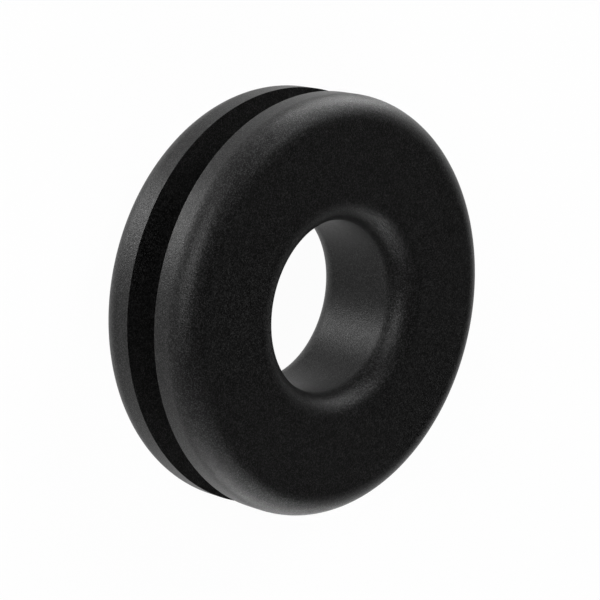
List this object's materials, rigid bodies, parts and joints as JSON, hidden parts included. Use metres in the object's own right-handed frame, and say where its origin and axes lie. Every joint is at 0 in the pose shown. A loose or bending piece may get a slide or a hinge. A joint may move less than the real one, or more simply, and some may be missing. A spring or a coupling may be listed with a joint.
{
  "type": "rubber grommet",
  "caption": "Round moulded rubber grommet: a flange with a rounded rim on either side of a panel groove, and a smooth bore with rounded mouths for a cable.",
  "frame": {"origin": "centre of the flat face that the part rests on, on the axis of the bore", "axes": "+Z along the bore, from the resting face to the other flat face; X and Y are alike, because the part is a body of revolution"},
  "size_m": [0.022, 0.022, 0.0066],
  "materials": {
    "black_rubber": "matt moulded rubber with a fine even grain"
  },
  "bodies": {
    "root": {"grommet": "black_rubber"}
  },
  "joints": []
}
